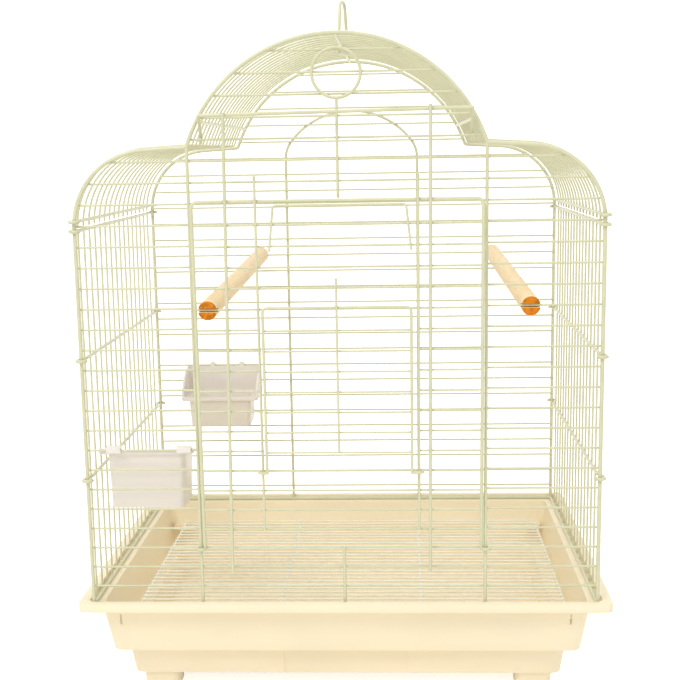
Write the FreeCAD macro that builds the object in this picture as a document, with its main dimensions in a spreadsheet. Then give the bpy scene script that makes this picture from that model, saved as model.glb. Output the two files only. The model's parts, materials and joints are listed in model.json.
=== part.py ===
import FreeCAD, Part
import math
import os
import re

import Sketcher

# Bird cage on a moulded tray. Units are millimetres, +Z is up, -Y is the front.
# The model is drawn about the middle of the wire cage. Each piece is then moved along y, so that
# the origin lies under the middle of the whole, its doors included, where the feet stand.

SIZES = {
    # wire stock
    "frame_wire_radius": 1.7,
    "post_wire_radius": 1.4,
    "door_wire_radius": 1.5,
    "bar_wire_radius": 1.5,
    "guide_wire_radius": 1.1,
    "thin_wire_radius": 0.9,
    "feeder_wire_radius": 0.8,
    "feeder_frame_radius": 1.2,
    "handle_wire_radius": 1.0,
    "weld_bite": 0.25,
    "touch_gap": 0.1,
    "running_gap": 0.6,
    "overrun": 5.0,
    # wire cage
    "seat_margin_across": 4.4,
    "seat_margin_along": 3.2,
    "wire_pitch": 17.15,
    "first_wire_rise": 358.5,
    "shoulder_corner_rise": 381.5,
    "shoulder_bend": 62.0,
    "shoulder_width": 95.0,
    "valley_rise": 387.0,
    "valley_bend": 3.8,
    "arch_height_share": 0.7223,
    "arch_top_margin": 10.0,
    "arch_flank_angle": 19.5,
    "stub_place": 1.5,
    "stub_top_rise": 51.0,
    "side_wire_count": 16,
    "upper_side_bar_rise": 212.7,
    "lower_side_bar_rise": 109.8,
    "side_top_bar_rise": 320.4,
    "roof_low_bar_rise": 328.2,
    "slope_bar_rise": 407.0,
    "curl_clearance": 0.5,
    "curl_jog_length": 14.0,
    "brace_half_width": 70.0,
    "brace_rise": 424.0,
    "brace_flatten": 11.0,
    "brace_shoulder_bend": 30.0,
    # ornament on the front arch
    "ring_radius": 19.5,
    "ring_wire_radius": 1.3,
    "ring_drop": 31.0,
    "ring_place": 0.9,
    "ring_stem_radius": 1.2,
    "ring_stem_foot_rise": 344.7,
    # hanging loop on the ridge
    "loop_wire_radius": 1.5,
    "loop_height": 41.6,
    "loop_top_half_width": 9.0,
    "loop_top_bend": 8.0,
    "loop_foot_bend": 5.0,
    "loop_end_gap": 0.4,
    # front flap door
    "hanger_rise": 412.9,
    "hanger_tilt": 1.4,
    "hanger_splay": 1.2,
    "hanger_inset": 11.2,
    "leg_foot_rise": 49.5,
    "leg_curl_radius": 3.4,
    "hanger_standoff": 12.5,
    "rail_tip_rise": 30.0,
    "left_rail_top_inset": 28.9,
    "left_rail_tip_inset": 23.4,
    "left_rail_overtop": 1.7,
    "right_rail_top_inset": 42.0,
    "right_rail_tip_inset": 43.1,
    "right_rail_overtop": 3.8,
    "door_top_rise": 343.2,
    "door_corner_bend": 5.0,
    "handle_place": 2.4,
    "handle_inset": 12.0,
    "handle_flare": 4.0,
    "handle_bar_rise": 339.9,
    "handle_tip_rise": 303.1,
    "handle_bend": 3.0,
    # small feeder door and its guides
    "guide_inset": 52.1,
    "guide_top_rise": 364.0,
    "guide_hook_length": 4.0,
    "guide_hook_bend": 2.2,
    "feeder_side_gap": 5.0,
    "feeder_place": -1.0,
    "feeder_top_rise": 257.5,
    "feeder_corner_bend": 4.0,
    "feeder_hook_bend": 2.0,
    "pull_foot_rise": 136.5,
    "pull_top_rise": 281.8,
    # moulded tray
    "rim_width": 457.0,
    "rim_depth": 356.0,
    "rim_corner": 6.0,
    "rim_top_height": 93.0,
    "seat_height": 88.3,
    "rim_base_height": 85.5,
    "skirt_height": 3.0,
    "skirt_inset": 7.2,
    "lip_width": 8.1,
    "lip_depth": 6.8,
    "tub_inset_across": 16.7,
    "tub_inset_along": 15.0,
    "tub_taper_across": 6.6,
    "tub_taper_along": 7.3,
    "tub_corner": 10.0,
    "step_height": 42.5,
    "well_step_across": 11.2,
    "well_step_along": 11.7,
    "well_taper_across": 3.7,
    "well_taper_along": 4.5,
    "well_base_height": 15.0,
    "tray_wall": 2.4,
    "foot_side_inset": 8.1,
    "foot_width": 32.4,
    "foot_depth": 30.0,
    "foot_inset": 3.0,
    "grip_half_width": 55.0,
    "grip_height": 16.6,
    "grip_sink": 1.0,
    "nub_inset": 10.2,
    "nub_inward_width": 9.0,
    "nub_outward_width": 7.0,
    "nub_reach": 11.7,
    "nub_thickness": 6.0,
    "nub_top_height": 66.0,
    "slot_width": 1.8,
    "slot_height": 10.0,
    "slot_rise": 2.0,
    # wire floor grate
    "grate_side_gap": 12.6,
    "grate_shift": 4.0,
    "grate_pitch": 10.0,
    "grate_end_gap": 5.7,
    "grate_wire_radius": 0.8,
    "grate_bar_radius": 1.1,
    # perches
    "perch_radius": 7.95,
    "perch_slot_height": 3.2,
    "perch_grip": 4.0,
    "perch_seat_gap": 0.3,
    "left_perch_inset": 10.9,
    "left_perch_skew": 7.3,
    "right_perch_inset": 59.0,
    "right_perch_skew": -7.0,
    # cups
    "cup_width": 81.5,
    "cup_depth": 50.0,
    "cup_body_width": 66.5,
    "cup_body_inset": 3.0,
    "cup_wall": 2.0,
    "cup_collar": 4.0,
    "cup_hook_drop": 3.4,
    "cup_hook_thickness": 1.8,
    "cup_corner": 5.0,
    "cup_taper": 3.0,
    "seed_cup_inset": 49.5,
    "seed_cup_body_height": 48.0,
    "seed_cup_top_drop": 0.0,
    "seed_cup_hook_shift": 3.7,
    "seed_cup_hook_spacing": 60.0,
    "seed_cup_hook_width": 12.0,
    "seed_cup_level_depth": 6.0,
    "seed_cup_scoop_drop": 12.0,
    "grit_cup_inset": 73.5,
    "grit_cup_hook_shift": 2.8,
    "grit_cup_hook_spacing": 32.0,
    "grit_cup_hook_width": 5.0,
    "grit_cup_body_height": 28.0,
    "grit_cup_top_drop": 26.5,
    "grit_cup_back": 26.0,
}

os.makedirs("parts", exist_ok=True)
doc = FreeCAD.newDocument("bird_cage")
sheet = doc.addObject("Spreadsheet::Sheet", "Sizes")
for row, (alias, number) in enumerate(SIZES.items(), start=1):
    sheet.set(f"A{row}", alias)
    sheet.set(f"B{row}", str(number))
    sheet.setAlias(f"B{row}", alias)
doc.recompute()

ALIAS = re.compile(r"\b(" + "|".join(SIZES) + r")\b")
Vector = FreeCAD.Vector
Rotation = FreeCAD.Rotation
Placement = FreeCAD.Placement
SEAM_TURN = Rotation(Vector(0, 0, 1), 45)


def linked(expression):
    """The expression with each size's name pointing at the sheet."""
    return ALIAS.sub(r"Sizes.\1", str(expression))


def size(expression):
    """The number, in millimetres, that an expression in named sizes stands for."""
    return float(doc.getObject("Sizes").evalExpression(str(expression)))


def bind(thing, prop, expression):
    thing.setExpression(prop, linked(expression))


# Heights and planes that many pieces share, as expressions in the named sizes.
BAR_HEIGHT = "(seat_height + touch_gap + frame_wire_radius)"
SIDE = "(rim_width / 2 - lip_width - seat_margin_across)"
BACK = "(rim_depth / 2 - lip_depth - seat_margin_along)"
FRONT = f"(-{BACK})"
VALLEY_HALF = f"({SIDE} - shoulder_width)"
ARCH_RISE = f"(valley_rise + arch_height_share * {VALLEY_HALF})"
RING_RISE = f"({ARCH_RISE} - ring_drop)"
FRONT_WIRES = f"({FRONT} + post_wire_radius + thin_wire_radius - weld_bite)"
BACK_WIRES = f"({BACK} - post_wire_radius - thin_wire_radius + weld_bite)"
SIDE_WIRES = f"({SIDE} + bar_wire_radius + thin_wire_radius - weld_bite)"
SIDE_PITCH = f"(2 * {BACK} / (side_wire_count + 1))"

# Half widths (X) and half depths (Y) of the tray's levels, each counted in from the one above.
TUB_TOP_X = "(rim_width / 2 - tub_inset_across)"
TUB_TOP_Y = "(rim_depth / 2 - tub_inset_along)"
TUB_STEP_X = f"({TUB_TOP_X} - tub_taper_across)"
TUB_STEP_Y = f"({TUB_TOP_Y} - tub_taper_along)"
WELL_TOP_X = f"({TUB_STEP_X} - well_step_across)"
WELL_TOP_Y = f"({TUB_STEP_Y} - well_step_along)"
WELL_BASE_X = f"({WELL_TOP_X} - well_taper_across)"
WELL_BASE_Y = f"({WELL_TOP_Y} - well_taper_along)"
NUB_X = f"({TUB_STEP_X} - nub_inset)"
NUB_TIP_Y = f"({TUB_STEP_Y} - nub_reach)"
GRATE_X = f"({TUB_STEP_X} - grate_side_gap)"
GRATE_Y = f"({TUB_STEP_Y} - grate_end_gap)"

# The wires are counted down from the one above the door; those above it have negative counts.
HIGHEST_WIRE = -1 - math.floor(size(f"({ARCH_RISE} - first_wire_rise - arch_top_margin) / wire_pitch"))
LOWEST_WIRE = 20
LOWEST_ARCH_WIRE = -2
DOOR_FIRST_WIRE = 2
DOOR_LAST_WIRE = 17
FEEDER_FIRST_WIRE = 7
FEEDER_LAST_WIRE = 13
FRONT_PERCH_WIRE = 6
BACK_PERCH_WIRE = 5
SEED_CUP_WIRE = 13
GRIT_CUP_WIRE = 12


def raised(rise):
    """A height above the floor, from a rise above the cage's bottom bar."""
    return f"({BAR_HEIGHT} + {rise})"


def wire_height(count):
    return raised(f"first_wire_rise - {count} * wire_pitch")


def rod(label, start, axis, length, radius):
    """A straight wire along a row axis. Its place, length and radius are expressions."""
    wire = doc.addObject("Part::Cylinder", label)
    turn = {
        "X": Rotation(Vector(0, 1, 0), 90),
        "Y": Rotation(Vector(1, 0, 0), -90),
        "Z": Rotation(),
    }[axis]
    wire.Placement = Placement(Vector(*[size(place) for place in start]), turn * SEAM_TURN)
    for letter, place in zip("xyz", start):
        bind(wire, f"Placement.Base.{letter}", place)
    bind(wire, "Height", length)
    bind(wire, "Radius", radius)
    return wire


def placed_rod(label, place, start, end, radius):
    """A straight wire between two points of a placed frame, such as the leaning door's."""
    first = place.multVec(Vector(*start))
    last = place.multVec(Vector(*end))
    wire = doc.addObject("Part::Cylinder", label)
    wire.Height = (last - first).Length
    wire.Placement = Placement(first, Rotation(Vector(0, 0, 1), last - first) * SEAM_TURN)
    bind(wire, "Radius", radius)
    return wire


def ball(label, place, centre, radius):
    """A rounded knuckle where two wires meet, a trifle thicker than the wires."""
    knob = doc.addObject("Part::Sphere", label)
    knob.Placement = Placement(place.multVec(Vector(*centre)), SEAM_TURN)
    bind(knob, "Radius", f"{radius} + touch_gap / 2")
    return knob


def box(label, low, high):
    """A block between two corners, each given as expressions."""
    block = doc.addObject("Part::Box", label)
    for letter, place in zip("xyz", low):
        bind(block, f"Placement.Base.{letter}", place)
    for prop, first, last in zip(("Length", "Width", "Height"), low, high):
        bind(block, prop, f"({last}) - ({first})")
    return block


def fuse(label, pieces):
    joined = doc.addObject("Part::MultiFuse", label)
    joined.Shapes = pieces
    return joined


def cut(label, base, tool):
    cut_away = doc.addObject("Part::Cut", label)
    cut_away.Base = base
    cut_away.Tool = tool
    return cut_away


def own_plane(body, role="XY_Plane"):
    return next(part for part in body.Origin.OriginFeatures if part.Role == role)


def own_sketch(body, label, place):
    """A sketch on the body's own ground plane, moved and turned by a placement."""
    sketch = body.newObject("Sketcher::SketchObject", label)
    sketch.AttachmentSupport = [(own_plane(body), "")]
    sketch.MapMode = "FlatFace"
    sketch.AttachmentOffset = place
    return sketch


def bend_path(corners):
    """Straight runs joined by tangent arcs, from (x, y, bend radius) corners."""
    points = [Vector(x, y, 0) for x, y, bend in corners]
    edges = []
    here = points[0]
    for before, corner, after, bend in zip(
        points, points[1:], points[2:], [bend for x, y, bend in corners[1:]]
    ):
        arriving = (corner - before).normalize()
        leaving = (after - corner).normalize()
        turn = arriving.getAngle(leaving)
        setback = bend * math.tan(turn / 2)
        start = corner - arriving * setback
        finish = corner + leaving * setback
        inward = (leaving - arriving).normalize()
        middle = corner + inward * (bend / math.cos(turn / 2) - bend)
        if (start - here).Length > 1e-6:
            edges.append(Part.LineSegment(here, start))
        edges.append(Part.Arc(start, middle, finish))
        here = finish
    if (points[-1] - here).Length > 1e-6:
        edges.append(Part.LineSegment(here, points[-1]))
    return edges


def bent_wire(label, place, corners, radius):
    """A wire bent in one plane: a round section swept along the path of its corners."""
    body = doc.addObject("PartDesign::Body", label)
    path = own_sketch(body, label + "_path", place)
    edges = bend_path(corners)
    for edge in edges:
        path.addGeometry(edge, False)
    begin = edges[0].StartPoint
    heading = edges[0].tangent(edges[0].FirstParameter)[0]
    start = place.multVec(begin)
    turn = Rotation(Vector(0, 0, 1), place.Rotation.multVec(heading)) * SEAM_TURN
    section = own_sketch(body, label + "_section", Placement(start, turn))
    section.addGeometry(Part.Circle(Vector(0, 0, 0), Vector(0, 0, 1), size(radius)), False)
    section.addConstraint(Sketcher.Constraint("Coincident", 0, 3, -1, 1))
    section.addConstraint(Sketcher.Constraint("Radius", 0, size(radius)))
    bind(section, "Constraints[1]", radius)
    doc.recompute()
    pipe = body.newObject("PartDesign::AdditivePipe", label + "_pipe")
    pipe.Profile = section
    pipe.Spine = (path, [f"Edge{number + 1}" for number in range(len(edges))])
    body.Tip = pipe
    return body


def upright_plane(y):
    """The plane with x to the right and y up, facing the front, at a depth."""
    return Placement(Vector(0, y, 0), Rotation(Vector(1, 0, 0), 90))


def level_plane(z):
    return Placement(Vector(0, 0, z), Rotation())


def turned_side_plane(degrees):
    """The plane with x towards the back and y up, turned about the upright middle axis."""
    facing = Rotation(Vector(0, 1, 0), Vector(0, 0, 1), Vector(1, 0, 0), "XYZ")
    return Placement(Vector(), Rotation(Vector(0, 0, 1), degrees) * facing)


def rounded_sketch(body, label, across, along, width, depth, corner, height):
    """A rounded rectangle on a level plane. Everything but the height is a number."""
    sketch = own_sketch(body, label, Placement(Vector(across, along, size(height)), Rotation()))
    bind(sketch, "AttachmentOffset.Base.z", height)
    x = width / 2
    y = depth / 2
    short = corner * (1 - math.sqrt(0.5))
    corners = [
        ((x - corner, -y), (x - short, -y + short), (x, -y + corner)),
        ((x, y - corner), (x - short, y - short), (x - corner, y)),
        ((-x + corner, y), (-x + short, y - short), (-x, y - corner)),
        ((-x, -y + corner), (-x + short, -y + short), (-x + corner, -y)),
    ]
    for this, following in zip(corners, corners[1:] + corners[:1]):
        sketch.addGeometry(Part.Arc(*[Vector(*point, 0) for point in this]), False)
        run = Part.LineSegment(Vector(*this[2], 0), Vector(*following[0], 0))
        sketch.addGeometry(run, False)
    return sketch


def loft(body, label, low, high, hollow=False):
    """A tapering block, or a tapering hollow, between two rounded rectangles."""
    kind = "PartDesign::SubtractiveLoft" if hollow else "PartDesign::AdditiveLoft"
    first = rounded_sketch(body, label + "_low", *low)
    second = rounded_sketch(body, label + "_high", *high)
    shape = body.newObject(kind, label)
    shape.Profile = first
    shape.Sections = [(second, [""])]
    body.Tip = shape
    doc.recompute()
    return shape


# Outline of the front and back panels: two shoulders and an arch between them.
HALF_WIDTH = size(SIDE)
VALLEY = (size(VALLEY_HALF), size("valley_rise"))
FLANK = math.radians(size("arch_flank_angle"))
ARCH_CORNER_RISE = VALLEY[1] + VALLEY[0] / math.tan(FLANK)
ARCH_BEND = (ARCH_CORNER_RISE - size(ARCH_RISE)) / (1 / math.sin(FLANK) - 1)
ARCH_CENTRE_RISE = size(ARCH_RISE) - ARCH_BEND
FLANK_TOP_RISE = ARCH_CENTRE_RISE + ARCH_BEND * math.sin(FLANK)
SHOULDER_SLOPE = math.atan2(
    VALLEY[1] - size("shoulder_corner_rise"), HALF_WIDTH - VALLEY[0]
)
SHOULDER_SETBACK = size("shoulder_bend") * math.tan((math.pi / 2 - SHOULDER_SLOPE) / 2)
SHOULDER_CENTRE_RISE = size("shoulder_corner_rise") - SHOULDER_SETBACK


def outline_corners(outward, foot_rise):
    """The outline's corners when it is moved outward, as (across, height, bend radius)."""
    base = size(BAR_HEIGHT)
    shoulder_bend = size("shoulder_bend") + outward
    valley_bend = size("valley_bend") - outward
    arch_bend = ARCH_BEND + outward
    side = HALF_WIDTH + outward
    lift = outward / math.cos(SHOULDER_SLOPE)
    shoulder_rise = size("shoulder_corner_rise") + lift - outward * math.tan(SHOULDER_SLOPE)
    arch_corner_rise = ARCH_CORNER_RISE + outward / math.sin(FLANK)
    flank_slope = 1 / math.tan(FLANK)
    run = side * math.tan(SHOULDER_SLOPE)
    valley_across = (arch_corner_rise - shoulder_rise - run) / (
        flank_slope - math.tan(SHOULDER_SLOPE)
    )
    valley_rise = arch_corner_rise - valley_across * flank_slope
    return [
        (-side, base + foot_rise, 0),
        (-side, base + shoulder_rise, shoulder_bend),
        (-valley_across, base + valley_rise, valley_bend),
        (0, base + arch_corner_rise, arch_bend),
        (valley_across, base + valley_rise, valley_bend),
        (side, base + shoulder_rise, shoulder_bend),
        (side, base + foot_rise, 0),
    ]


def outline_reach(rise):
    """How far the outline lies from the middle at a rise above the bottom bar."""
    if VALLEY[1] < rise < FLANK_TOP_RISE:
        return (ARCH_CORNER_RISE - rise) * math.tan(FLANK)
    if rise > VALLEY[1]:
        return math.sqrt(ARCH_BEND**2 - (rise - ARCH_CENTRE_RISE) ** 2)
    if rise > SHOULDER_CENTRE_RISE:
        bend = size("shoulder_bend")
        return HALF_WIDTH - bend + math.sqrt(bend**2 - (rise - SHOULDER_CENTRE_RISE) ** 2)
    return HALF_WIDTH


def wire_rise(count):
    return size(f"first_wire_rise - {count} * wire_pitch")


def cross_wire(label, count, depth, low=None, high=None):
    """A thin wire of a panel. Without ends it runs from outline to outline."""
    reach = outline_reach(wire_rise(count))
    low = f"(-{reach})" if low is None else low
    high = f"{reach}" if high is None else high
    start = (low, depth, wire_height(count))
    return rod(f"{label}_{count - HIGHEST_WIRE}", start, "X", f"{high} - {low}", "thin_wire_radius")


# Front panel: the outline with its thin wires, open in the middle for the door.
pieces = [
    bent_wire(
        "front_outline", upright_plane(size(FRONT)), outline_corners(0, 0), "frame_wire_radius"
    ),
    rod("front_foot", (f"-{SIDE}", FRONT, BAR_HEIGHT), "X", f"2 * {SIDE}", "frame_wire_radius"),
]
for sign, name in ((-1, "left"), (1, "right")):
    pieces.append(
        rod(
            f"front_{name}_post",
            (f"{sign} * {VALLEY_HALF}", FRONT, BAR_HEIGHT),
            "Z",
            "valley_rise",
            "post_wire_radius",
        )
    )
pieces.append(
    rod("front_stub", ("stub_place", FRONT, BAR_HEIGHT), "Z", "stub_top_rise", "post_wire_radius")
)
for count in range(HIGHEST_WIRE + 1, LOWEST_WIRE + 1):
    if DOOR_FIRST_WIRE <= count <= DOOR_LAST_WIRE:
        inner = f"({VALLEY_HALF} - running_gap)"
        pieces.append(cross_wire("front_left_wire", count, FRONT_WIRES, f"(-{SIDE})", f"(-{inner})"))
        pieces.append(cross_wire("front_right_wire", count, FRONT_WIRES, inner, SIDE))
    else:
        pieces.append(cross_wire("front_wire", count, FRONT_WIRES))
front_panel = fuse("front_panel", pieces)

# Back panel: the same outline with every wire at full width, and its separate brace.
pieces = [
    bent_wire(
        "back_outline", upright_plane(size(BACK)), outline_corners(0, 0), "frame_wire_radius"
    ),
    rod("back_foot", (f"-{SIDE}", BACK, BAR_HEIGHT), "X", f"2 * {SIDE}", "frame_wire_radius"),
]
for count in range(HIGHEST_WIRE + 1, LOWEST_WIRE + 1):
    pieces.append(cross_wire("back_wire", count, BACK_WIRES))
back_panel = fuse("back_panel", pieces)

brace_depth = size(f"{BACK_WIRES} + thin_wire_radius + post_wire_radius + touch_gap")
brace_foot = size(f"{BAR_HEIGHT} + frame_wire_radius + touch_gap")
brace_top = size(raised("brace_rise"))
brace_half = size("brace_half_width")
brace_bend = size("brace_half_width + brace_flatten")
shoulder_bend = size("brace_shoulder_bend")
# the flat top arc meets the two shoulder arcs without a straight run between them
brace_slope = math.asin((brace_half - shoulder_bend) / (brace_bend - shoulder_bend))
brace_peak = brace_top + brace_bend / math.cos(brace_slope) - brace_bend
brace_corner = brace_peak - brace_half * math.tan(brace_slope)
back_stiffener = bent_wire(
    "back_stiffener",
    upright_plane(brace_depth),
    [
        (-brace_half, brace_foot, 0),
        (-brace_half, brace_corner, shoulder_bend),
        (0, brace_peak, brace_bend),
        (brace_half, brace_corner, shoulder_bend),
        (brace_half, brace_foot, 0),
    ],
    "post_wire_radius",
)


def row_depth(number):
    """Depth of one of the upright wires that stand evenly between front and back."""
    half_count = (SIZES["side_wire_count"] - 1) / 2
    return f"(({number} - {half_count}) * {SIDE_PITCH})"


def curled_bar(label, sign, rise):
    """A bar from front to back whose ends step outward and curl round the frame wires."""
    side = sign * HALF_WIDTH
    curl = size("frame_wire_radius + bar_wire_radius + curl_clearance")
    deep = size(BACK)
    jog = size("curl_jog_length")
    straight = deep - jog - curl
    tip = deep - size("curl_clearance")
    out = side + sign * curl
    within = side - sign * curl
    outside = deep + curl
    end = [
        (within, tip, 0),
        (within, outside, curl),
        (out, outside, curl),
        (out, deep - curl - size("running_gap"), curl),
        (side, straight, curl),
    ]
    corners = [(x, -y, bend) for x, y, bend in end] + end[::-1]
    return bent_wire(label, level_plane(size(raised(rise))), corners, "bar_wire_radius")


def plain_bar(label, across, height):
    """A bar from front to back whose ends are welded to the frame wires."""
    reach = f"({BACK} - frame_wire_radius - touch_gap)"
    return rod(label, (across, f"-{reach}", height), "Y", f"2 * {reach}", "bar_wire_radius")


SIDE_PANELS = {}
for sign, name in ((-1, "left"), (1, "right")):
    pieces = [
        plain_bar(f"{name}_side_foot_bar", f"{sign} * {SIDE}", BAR_HEIGHT),
        curled_bar(f"{name}_side_low_bar", sign, "lower_side_bar_rise"),
        curled_bar(f"{name}_side_mid_bar", sign, "upper_side_bar_rise"),
        curled_bar(f"{name}_side_top_bar", sign, "side_top_bar_rise"),
    ]
    for number in range(SIZES["side_wire_count"]):
        pieces.append(
            rod(
                f"{name}_side_wire_{number}",
                (f"{sign} * {SIDE_WIRES}", row_depth(number), BAR_HEIGHT),
                "Z",
                "side_top_bar_rise + bar_wire_radius",
                "thin_wire_radius",
            )
        )
    SIDE_PANELS[name] = fuse(f"{name}_side_panel", pieces)

# Roof: wires bent to the same profile, lying on the bars.
outward = size("bar_wire_radius + thin_wire_radius - weld_bite")
pieces = []
for sign, name in ((-1, "left"), (1, "right")):
    pieces.append(curled_bar(f"{name}_roof_low_bar", sign, "roof_low_bar_rise"))
    slope_reach = outline_reach(size("slope_bar_rise"))
    slope_height = raised("slope_bar_rise")
    pieces.append(plain_bar(f"{name}_roof_slope_bar", f"{sign * slope_reach}", slope_height))
roof_foot = SHOULDER_CENTRE_RISE - size("running_gap / 2")
for number in range(SIZES["side_wire_count"]):
    pieces.append(
        bent_wire(
            f"roof_wire_{number}",
            upright_plane(size(row_depth(number))),
            outline_corners(outward, roof_foot),
            "thin_wire_radius",
        )
    )
roof_panel = fuse("roof_panel", pieces)

RIDGE_HEIGHT = raised(f"{ARCH_RISE} - weld_bite - touch_gap")
ridge_bar = plain_bar("ridge_bar", "0", RIDGE_HEIGHT)

# Hanging loop: it crosses under the ridge bar, turned a little so that its two sides
# pass the bar left and right, and rises between the roof wires.
loop_drop = "bar_wire_radius + loop_wire_radius + running_gap"
loop_foot = size(f"{RIDGE_HEIGHT} - ({loop_drop})")
loop_aside = size(loop_drop)
loop_along = size(SIDE_PITCH)
loop_foot_half = math.hypot(loop_aside, loop_along)
loop_top = size(raised(f"{ARCH_RISE} + loop_height"))
loop_top_half = size("loop_top_half_width")
loop_end = size("loop_end_gap / 2")
hanging_loop = bent_wire(
    "hanging_loop",
    turned_side_plane(-math.degrees(math.atan2(loop_aside, loop_along))),
    [
        (loop_end, loop_foot, 0),
        (loop_foot_half, loop_foot, size("loop_foot_bend")),
        (loop_top_half, loop_top, size("loop_top_bend")),
        (-loop_top_half, loop_top, size("loop_top_bend")),
        (-loop_foot_half, loop_foot, size("loop_foot_bend")),
        (-loop_end, loop_foot, 0),
    ],
    "loop_wire_radius",
)

# Ring on its stem in the front arch.
stem_depth = f"({FRONT_WIRES} - thin_wire_radius - touch_gap - ring_wire_radius)"
ring = doc.addObject("Part::Torus", "arch_ring_hoop")
ring.Placement = Placement(Vector(), Rotation(Vector(1, 0, 0), 90))
bind(ring, "Placement.Base.x", "ring_place")
bind(ring, "Placement.Base.y", stem_depth)
bind(ring, "Placement.Base.z", raised(RING_RISE))
bind(ring, "Radius1", "ring_radius")
bind(ring, "Radius2", "ring_wire_radius")
ring_stem = rod(
    "arch_ring_stem",
    ("ring_place", stem_depth, raised("ring_stem_foot_rise")),
    "Z",
    f"{RING_RISE} - ring_radius - ring_stem_foot_rise",
    "ring_stem_radius",
)
arch_ring = fuse("arch_ring", [ring, ring_stem])

# The door hangs on a plane that leans outward at the top. In its own frame x is across,
# the second number is the rise above the cage's bottom bar and the third is forward.
HANGER_DEPTH = size(f"{FRONT} - hanger_standoff")
RAIL_FORWARD = size("2 * post_wire_radius + touch_gap")
FRAME_BACK = size("post_wire_radius + door_wire_radius + touch_gap")
FOOT_DEPTH = (
    size(f"{FRONT_WIRES} - thin_wire_radius - running_gap - door_wire_radius") - FRAME_BACK
)
TOP_DEPTH = HANGER_DEPTH - RAIL_FORWARD
RISE_OF_LEAN = size("hanger_rise - leg_foot_rise")
LEAN = math.atan2(FOOT_DEPTH - TOP_DEPTH, RISE_OF_LEAN)
DOOR_ORIGIN_DEPTH = FOOT_DEPTH + size("leg_foot_rise") * math.tan(LEAN)
DOOR = Placement(
    Vector(0, DOOR_ORIGIN_DEPTH, size(BAR_HEIGHT)),
    Rotation(Vector(1, 0, 0), 90 + math.degrees(LEAN)),
)


def door_depth(rise, forward):
    """Depth in the cage's frame of a point that belongs to the door."""
    return DOOR.multVec(Vector(0, rise, forward)).y


def door_plane(forward):
    return DOOR.multiply(Placement(Vector(0, 0, forward), Rotation()))


def door_rod(label, start, end, radius):
    return placed_rod(label, DOOR, start, end, radius)


DOOR_WIRES = -size("post_wire_radius + thin_wire_radius + touch_gap")
GUIDES = DOOR_WIRES + size("thin_wire_radius + guide_wire_radius + touch_gap")
HANDLE = DOOR_WIRES + size("thin_wire_radius + handle_wire_radius + touch_gap")
FEEDER_WIRES = size("post_wire_radius + running_gap + feeder_wire_radius")
FEEDER_FRAME = FEEDER_WIRES + size("feeder_wire_radius + feeder_frame_radius - weld_bite")
LEG = size(f"{VALLEY_HALF} - post_wire_radius - running_gap - door_wire_radius")
GUIDE = LEG - size("guide_inset")
LEG_FOOT = size("leg_foot_rise")
door_corner = size("door_corner_bend")
door_top = size("door_top_rise")

pieces = [
    bent_wire(
        "door_frame",
        door_plane(-FRAME_BACK),
        [
            (-LEG, LEG_FOOT, 0),
            (-LEG, door_top, door_corner),
            (LEG, door_top, door_corner),
            (LEG, LEG_FOOT, 0),
        ],
        "door_wire_radius",
    )
]
foot_point = DOOR.multVec(Vector(0, LEG_FOOT, -FRAME_BACK))
curl = size("leg_curl_radius")
for sign, name in ((-1, "left"), (1, "right")):
    outer = size(f"{VALLEY_HALF} + post_wire_radius + running_gap + door_wire_radius")
    curl_front = foot_point.y - curl
    curl_back = size(f"{FRONT_WIRES} - thin_wire_radius - running_gap")
    pieces.append(ball(f"door_{name}_knuckle", Placement(), (sign * LEG, foot_point.y, foot_point.z),
                       "door_wire_radius"))
    pieces.append(
        bent_wire(
            f"door_{name}_curl",
            level_plane(foot_point.z),
            [
                (sign * LEG, foot_point.y, 0),
                (sign * LEG, curl_front, curl),
                (sign * outer, curl_front, curl),
                (sign * outer, curl_back, 0),
            ],
            "door_wire_radius",
        )
    )
wire_end = LEG - size("door_wire_radius - 2 * weld_bite")
guide_end = GUIDE - size("guide_wire_radius")
for count in range(DOOR_FIRST_WIRE, DOOR_LAST_WIRE + 1):
    rise = wire_rise(count)
    if FEEDER_FIRST_WIRE <= count <= FEEDER_LAST_WIRE:
        runs = ((-wire_end, -guide_end), (guide_end, wire_end))
    else:
        runs = ((-wire_end, wire_end),)
    for number, (first, last) in enumerate(runs):
        pieces.append(
            door_rod(
                f"door_wire_{count}_{number}",
                (first, rise, DOOR_WIRES),
                (last, rise, DOOR_WIRES),
                "thin_wire_radius",
            )
        )
front_door_panel = fuse("front_door_panel", pieces)

hanger_rise = size("hanger_rise")
half_hanger = size(f"{VALLEY_HALF} - hanger_inset - post_wire_radius")
hanger_slope = size("hanger_tilt") / half_hanger


def hanger_point(across):
    """A point of the hanger bar's middle line; the bar is a little higher on the right."""
    return DOOR.multVec(Vector(across, hanger_rise + hanger_slope * across, -RAIL_FORWARD))


RAILS = {}
for sign, name in ((-1, "left"), (1, "right")):
    rail_top = sign * (LEG - size(f"{name}_rail_top_inset"))
    rail_tip = sign * (LEG - size(f"{name}_rail_tip_inset"))
    top_rise = hanger_rise + hanger_slope * rail_top + size(f"{name}_rail_overtop")
    RAILS[name] = door_rod(
        f"door_rail_{name}",
        (rail_tip, size("rail_tip_rise"), 0),
        (rail_top, top_rise, 0),
        "post_wire_radius",
    )

guide_top = size("guide_top_rise")
guide_tip = GUIDES + size("guide_hook_length")
GUIDE_RAILS = {}
for sign, name in ((-1, "left"), (1, "right")):
    plane = DOOR.multiply(
        Placement(
            Vector(sign * GUIDE, 0, 0),
            Rotation(Vector(0, 1, 0), Vector(0, 0, 1), Vector(1, 0, 0), "XYZ"),
        )
    )
    GUIDE_RAILS[name] = bent_wire(
        f"guide_rail_{name}",
        plane,
        [
            (wire_rise(DOOR_LAST_WIRE), GUIDES, 0),
            (guide_top, GUIDES, size("guide_hook_bend")),
            (guide_top, guide_tip, 0),
        ],
        "guide_wire_radius",
    )

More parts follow.
